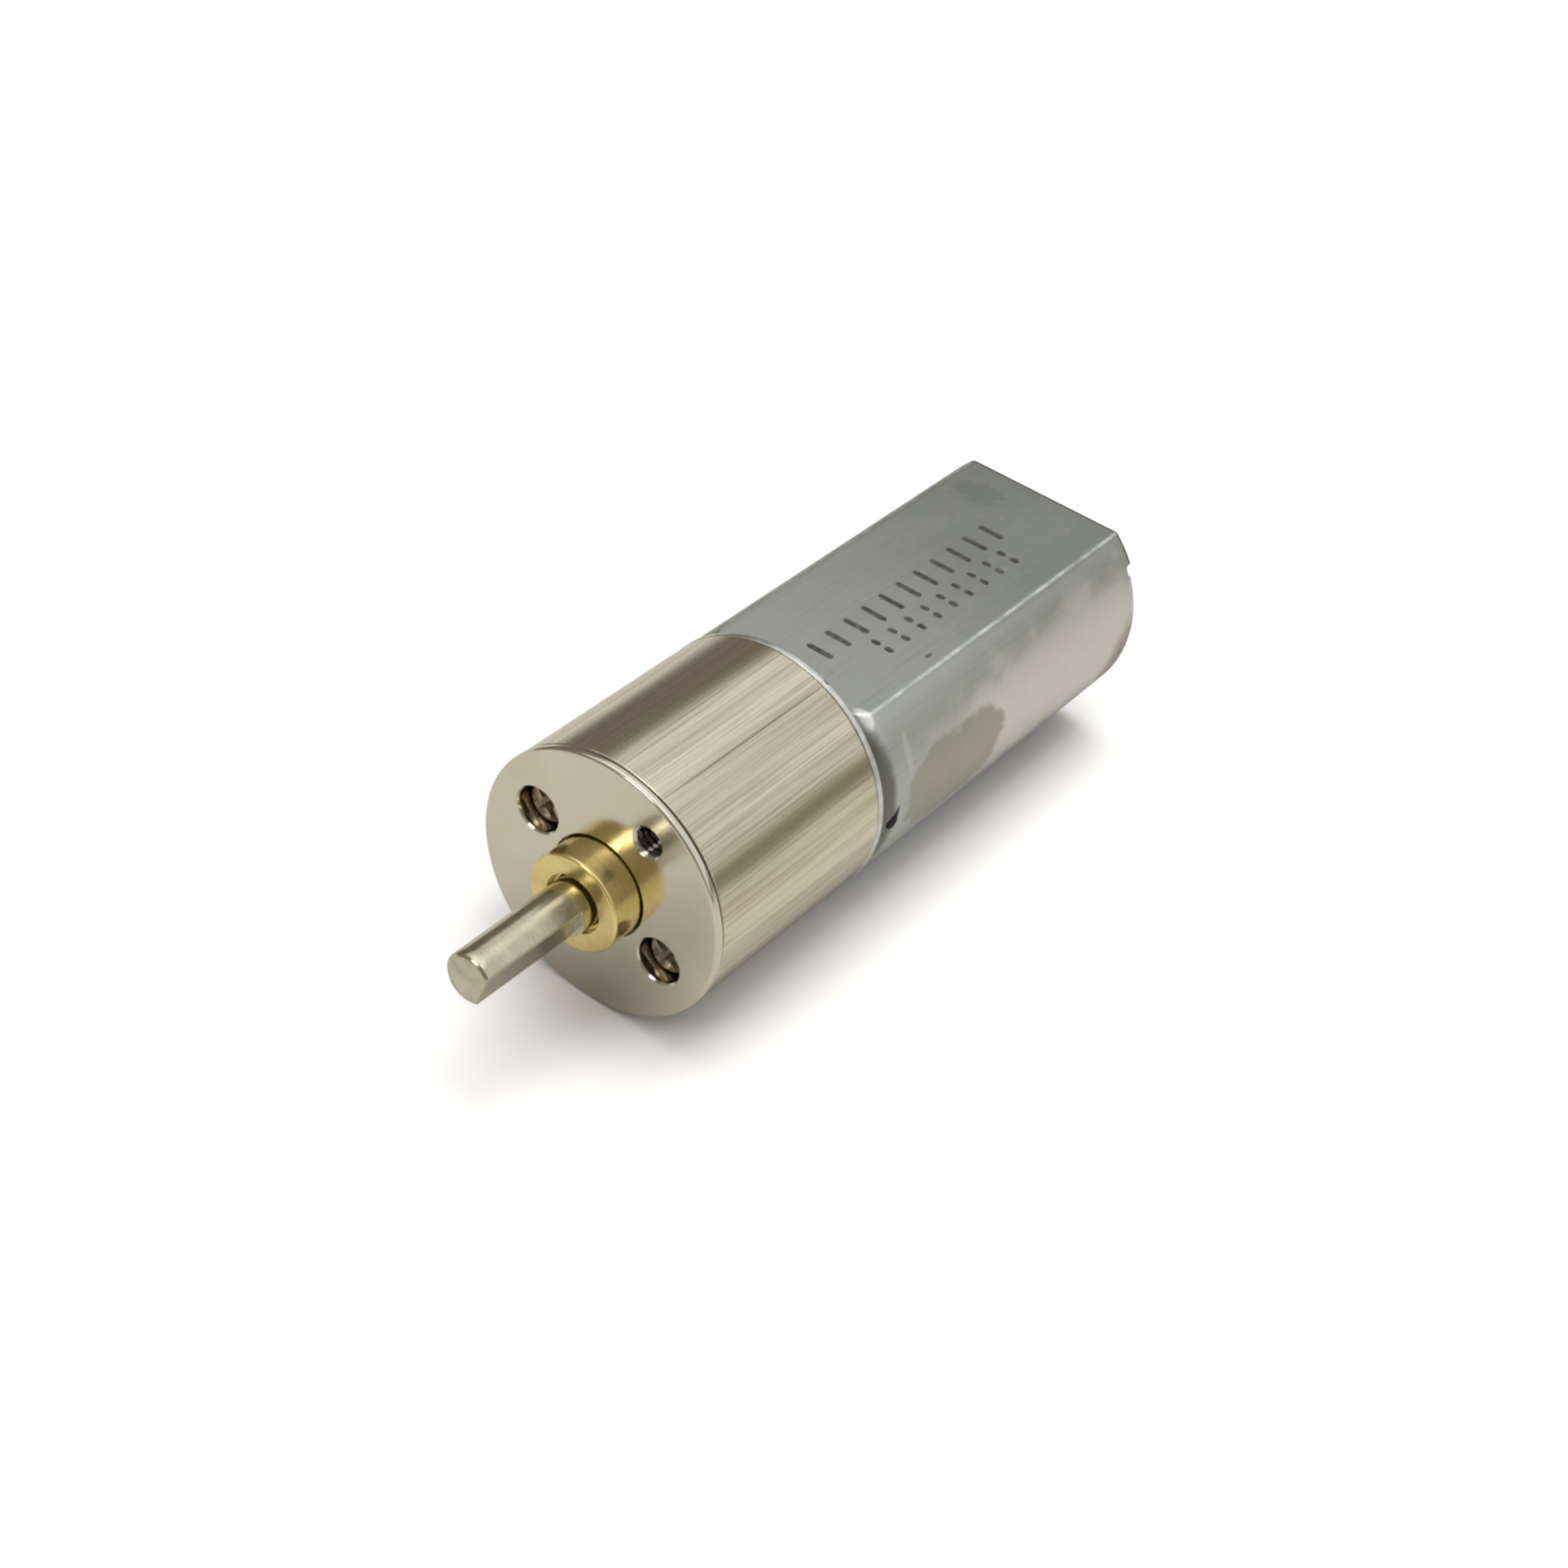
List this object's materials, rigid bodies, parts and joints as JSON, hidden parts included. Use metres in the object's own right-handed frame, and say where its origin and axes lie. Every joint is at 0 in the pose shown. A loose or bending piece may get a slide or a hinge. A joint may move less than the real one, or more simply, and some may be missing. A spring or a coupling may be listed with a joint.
{
  "type": "gearmotor",
  "caption": "Small brushed DC motor in a flat-sided can with a round coaxial spur gearbox and a D-cut output shaft.",
  "frame": {"origin": "centre of the output shaft's free end face", "axes": "-Y is the way the output shaft points, +Y runs along the drive towards the motor's terminals, +Z is normal to the can's top flat, +X to the right seen from the shaft end"},
  "size_m": [0.016, 0.0543, 0.016],
  "materials": {
    "nickel_plate": "satin nickel plating on steel",
    "nickel_tube": "nickel plating brushed along the axis",
    "zinc_ring": "bright zinc plating",
    "zinc_can": "semi-matt zinc plating on drawn steel",
    "turned_brass": "fine turned",
    "gear_brass": "machined",
    "terminal_brass": "tinned brass",
    "bearing_bronze": "sintered bronze, oil filled",
    "copper": "rolled copper alloy",
    "winding": "enamelled copper wire",
    "screw_steel": "nickel-plated steel",
    "gear_steel": "cut steel",
    "shaft_steel": "ground steel",
    "core_iron": "stacked sheet iron",
    "ferrite": "matt sintered ferrite",
    "carbon": "matt graphite",
    "cap_plastic": "moulded, fine matt"
  },
  "bodies": {
    "housing": {"front_plate": "nickel_plate", "output_bush": "turned_brass", "gear_tube": "nickel_tube", "rear_plate": "zinc_ring", "pillar_left": "gear_brass", "pillar_right": "gear_brass", "case_screw_left": "screw_steel", "case_screw_right": "screw_steel", "motor_screw_left": "screw_steel", "motor_screw_right": "screw_steel", "gear_pin_a": "gear_steel", "gear_pin_b": "gear_steel", "pin_a_spacer_front": "gear_brass", "pin_a_spacer_rear": "gear_brass", "pin_b_spacer": "gear_brass", "motor_can": "zinc_can", "front_bearing": "bearing_bronze", "rear_bearing": "bearing_bronze", "magnet_left": "ferrite", "magnet_right": "ferrite", "end_cap": "cap_plastic", "terminal_left": "terminal_brass", "terminal_right": "terminal_brass", "brush_arm_left": "copper", "brush_arm_right": "copper", "carbon_brush_left": "carbon", "carbon_brush_right": "carbon"},
    "output_drive": {"output_shaft": "shaft_steel", "output_gear": "gear_steel", "output_washer": "bearing_bronze"},
    "third_gear": {"compound_gear_3": "gear_steel"},
    "second_gear": {"compound_gear_2": "gear_steel"},
    "first_gear": {"compound_gear_1": "gear_brass"},
    "rotor": {"rotor_shaft": "shaft_steel", "motor_pinion": "gear_brass", "rotor_core": "core_iron", "winding_1": "winding", "winding_2": "winding", "winding_3": "winding", "commutator_hub": "cap_plastic", "commutator_segment_1": "copper", "commutator_segment_2": "copper", "commutator_segment_3": "copper", "rotor_washer_front": "cap_plastic", "rotor_washer_rear": "cap_plastic"}
  },
  "joints": [
    {"name": "output_spin", "type": "hinge", "parent": "housing", "child": "output_drive", "pos_m": [0, 0.01, 0], "axis": [0, 1, 0], "continuous": true},
    {"name": "third_gear_spin", "type": "hinge", "parent": "housing", "child": "third_gear", "pos_m": [-0.00069, 0.0158, -0.00394], "axis": [0, 1, 0], "continuous": true},
    {"name": "second_gear_spin", "type": "hinge", "parent": "housing", "child": "second_gear", "pos_m": [0, 0.018, 0], "axis": [0, 1, 0], "continuous": true},
    {"name": "first_gear_spin", "type": "hinge", "parent": "housing", "child": "first_gear", "pos_m": [0.00069, 0.02, 0.00394], "axis": [0, 1, 0], "continuous": true},
    {"name": "rotor_spin", "type": "hinge", "parent": "housing", "child": "rotor", "pos_m": [0, 0.035, 0], "axis": [0, 1, 0], "continuous": true}
  ],
  "couplings": [
    {"joint": "third_gear_spin", "follows": "output_spin", "ratio": -3},
    {"joint": "second_gear_spin", "follows": "output_spin", "ratio": 9},
    {"joint": "first_gear_spin", "follows": "output_spin", "ratio": -27},
    {"joint": "rotor_spin", "follows": "output_spin", "ratio": 81}
  ]
}
